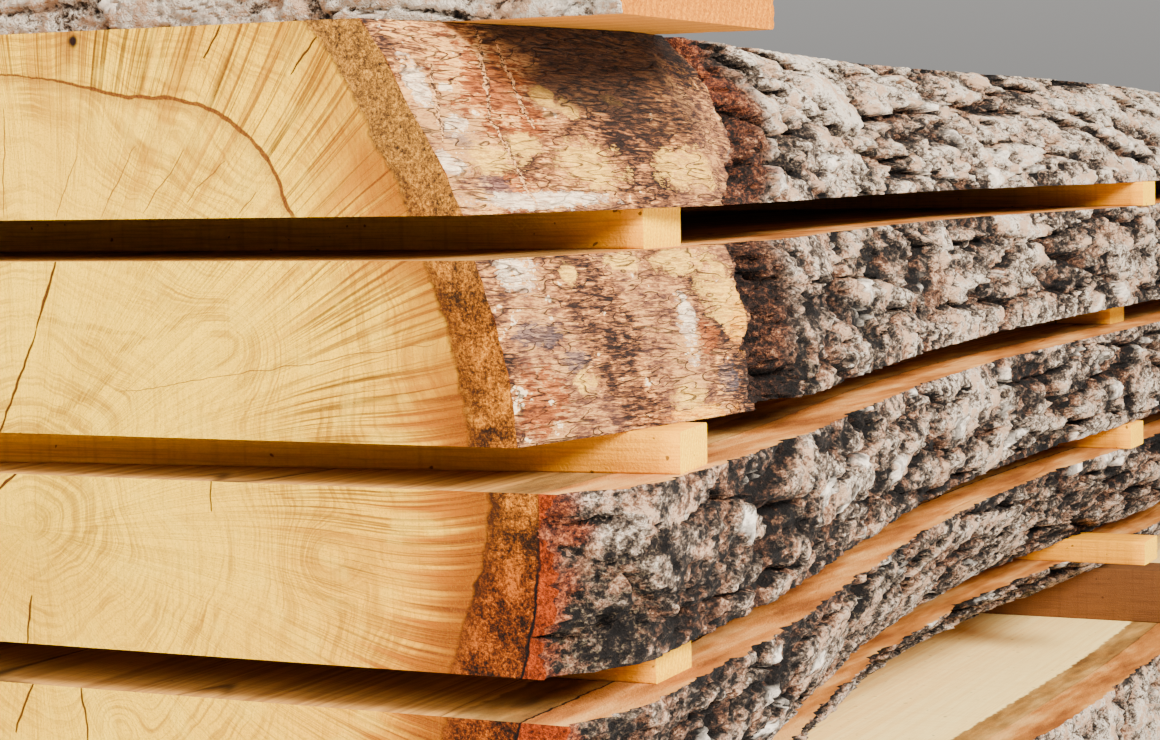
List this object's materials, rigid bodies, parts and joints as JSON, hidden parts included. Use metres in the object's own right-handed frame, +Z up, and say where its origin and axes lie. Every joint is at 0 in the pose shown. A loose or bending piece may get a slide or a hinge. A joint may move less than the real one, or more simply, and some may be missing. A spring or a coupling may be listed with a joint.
{
  "type": "stack of lumber",
  "caption": "Through-sawn log restacked as thick bark-edged slabs with stickers between, bearers below and a board across the top.",
  "frame": {"origin": "on the floor, under the middle of the stack's box", "axes": "+Y along the slabs, away from the butt end with the shown end grain; +X across, towards the bark edge with the bare patch; +Z up"},
  "size_m": [0.6299, 2.5, 0.641],
  "materials": {
    "slab_wood": "rough sawn",
    "bark": "furrowed bark",
    "sticker_wood": "rough sawn",
    "bearer_wood": "rough sawn",
    "board_wood": "rough sawn"
  },
  "bodies": {
    "root": {"slab_1": "slab_wood", "slab_2": "slab_wood", "slab_3": "slab_wood", "slab_4": "slab_wood", "slab_5": "slab_wood", "base_slab": "slab_wood", "sticker_1_near": "sticker_wood", "sticker_1_middle": "sticker_wood", "sticker_1_far": "sticker_wood", "sticker_2_near": "sticker_wood", "sticker_2_middle": "sticker_wood", "sticker_2_far": "sticker_wood", "sticker_3_near": "sticker_wood", "sticker_3_middle": "sticker_wood", "sticker_3_far": "sticker_wood", "sticker_4_near": "sticker_wood", "sticker_4_middle": "sticker_wood", "sticker_4_far": "sticker_wood", "bearer_near": "bearer_wood", "bearer_middle": "bearer_wood", "bearer_far": "bearer_wood", "top_board": "board_wood"}
  },
  "joints": []
}
